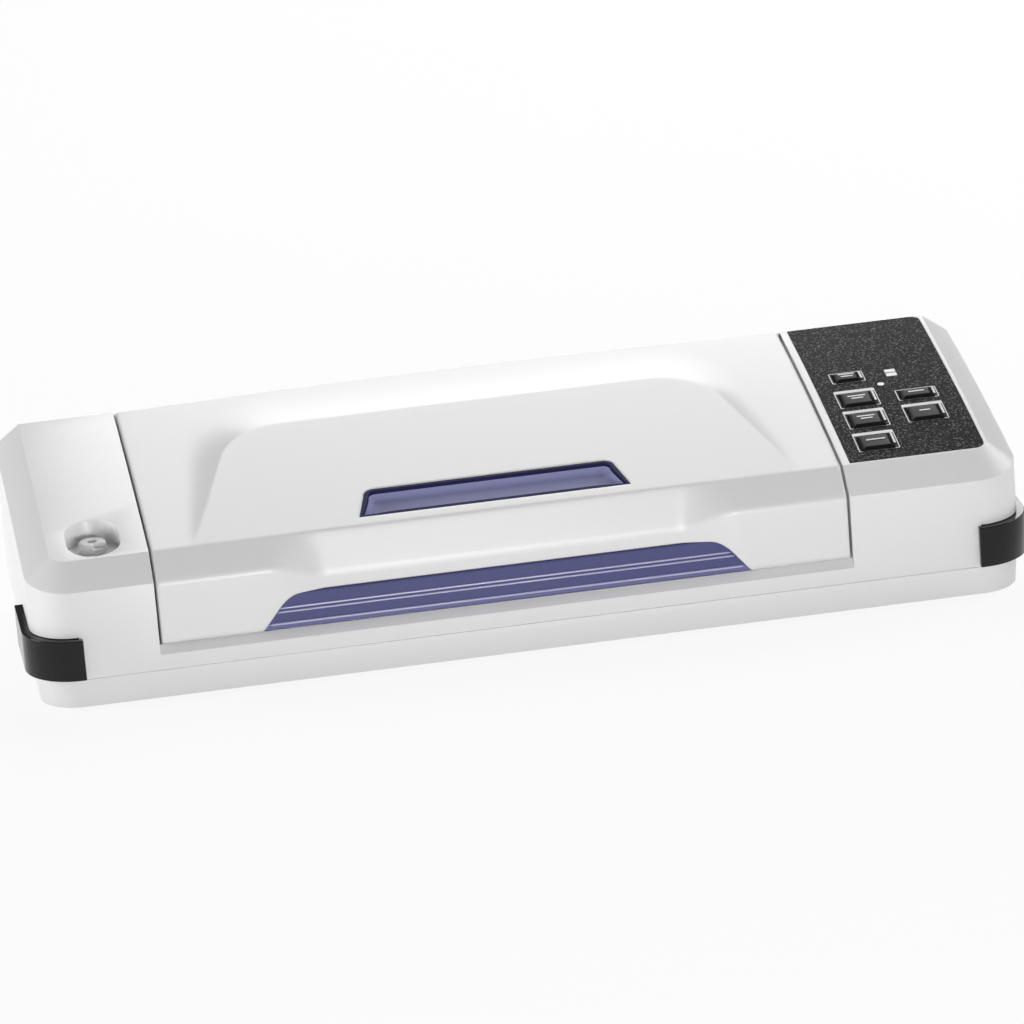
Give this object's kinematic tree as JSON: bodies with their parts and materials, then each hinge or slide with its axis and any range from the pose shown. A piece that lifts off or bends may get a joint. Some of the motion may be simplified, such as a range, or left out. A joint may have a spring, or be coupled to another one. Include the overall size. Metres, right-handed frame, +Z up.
{
  "type": "vacuum sealer",
  "caption": "Long white kitchen vacuum sealer with a hinged domed lid, blue grip and window, sloping black key panel, canister port and black corner release buttons.",
  "frame": {"origin": "on the table, under the middle of the whole object", "axes": "+X to the right seen from the front, along the casing; +Y towards the rear wall; +Z up"},
  "size_m": [0.498, 0.169, 0.098],
  "materials": {
    "white_plastic": "satin",
    "black_gloss": "gloss",
    "panel_film": "satin with a fine sparkle",
    "blue_clear": "translucent gloss",
    "lens_clear": "translucent",
    "black_rubber": "matte",
    "grey_foam": "matte",
    "steel": "plain",
    "aluminium": "extruded",
    "tape": "woven non-stick tape",
    "brass": "plain",
    "winding": "varnished",
    "board": "satin",
    "black_plastic": "satin",
    "hose": "translucent"
  },
  "bodies": {
    "casing": {"base_pan": "white_plastic", "base_screws": "steel", "board_screws": "steel", "canister_port": "white_plastic", "chamber_hose": "hose", "control_board": "board", "control_panel": "panel_film", "drip_tray": "black_plastic", "dry_lens": "lens_clear", "feet": "black_rubber", "heating_strip": "steel", "hinge_pins": "steel", "inlet_blades": "brass", "key_switches": "black_plastic", "left_button_spring": "steel", "lid_switches": "black_plastic", "lower_gasket": "grey_foam", "mains_inlet": "black_plastic", "moist_lens": "lens_clear", "port_hose": "hose", "power_lens": "lens_clear", "pump_head": "black_plastic", "pump_motor": "steel", "release_valve": "black_plastic", "right_button_spring": "steel", "seal_bar": "aluminium", "seal_tape": "tape", "top_housing": "white_plastic", "transformer_coil": "winding", "transformer_core": "steel", "vacuum_sensor": "black_plastic"},
    "lid": {"lid_cover": "white_plastic", "lid_window": "blue_clear", "front_grip": "blue_clear", "lid_liner": "white_plastic", "lid_gasket": "grey_foam", "liner_screws": "steel", "pressure_strip": "black_rubber", "lid_hooks": "steel"},
    "left_release": {"left_release_button": "black_gloss", "left_latch_slider": "black_plastic"},
    "right_release": {"right_release_button": "black_gloss", "right_latch_slider": "black_plastic"},
    "key_mode_body": {"key_mode": "black_gloss"},
    "key_vacuum_seal_body": {"key_vacuum_seal": "black_gloss"},
    "key_pulse_body": {"key_pulse": "black_gloss"},
    "key_canister_body": {"key_canister": "black_gloss"},
    "key_cancel_body": {"key_cancel": "black_gloss"},
    "key_seal_body": {"key_seal": "black_gloss"}
  },
  "joints": [
    {"name": "lid_hinge", "type": "hinge", "parent": "casing", "child": "lid", "pos_m": [0, 0.078, 0.066], "axis": [-1, 0, 0], "range_deg": [0, 75]},
    {"name": "left_release_press", "type": "slide", "parent": "casing", "child": "left_release", "axis": [1, 0, 0], "range_m": [0, 0.003], "stiffness_N_per_m": 1200, "deforming": ["left_button_spring"]},
    {"name": "right_release_press", "type": "slide", "parent": "casing", "child": "right_release", "axis": [-1, 0, 0], "range_m": [0, 0.003], "stiffness_N_per_m": 1200, "deforming": ["right_button_spring"]},
    {"name": "key_mode_press", "type": "slide", "parent": "casing", "child": "key_mode_body", "axis": [0, 0.1527, -0.9883], "range_m": [0, 0.0008], "stiffness_N_per_m": 900},
    {"name": "key_vacuum_seal_press", "type": "slide", "parent": "casing", "child": "key_vacuum_seal_body", "axis": [0, 0.1527, -0.9883], "range_m": [0, 0.0008], "stiffness_N_per_m": 900},
    {"name": "key_pulse_press", "type": "slide", "parent": "casing", "child": "key_pulse_body", "axis": [0, 0.1527, -0.9883], "range_m": [0, 0.0008], "stiffness_N_per_m": 900},
    {"name": "key_canister_press", "type": "slide", "parent": "casing", "child": "key_canister_body", "axis": [0, 0.1527, -0.9883], "range_m": [0, 0.0008], "stiffness_N_per_m": 900},
    {"name": "key_cancel_press", "type": "slide", "parent": "casing", "child": "key_cancel_body", "axis": [0, 0.1527, -0.9883], "range_m": [0, 0.0008], "stiffness_N_per_m": 900},
    {"name": "key_seal_press", "type": "slide", "parent": "casing", "child": "key_seal_body", "axis": [0, 0.1527, -0.9883], "range_m": [0, 0.0008], "stiffness_N_per_m": 900}
  ]
}
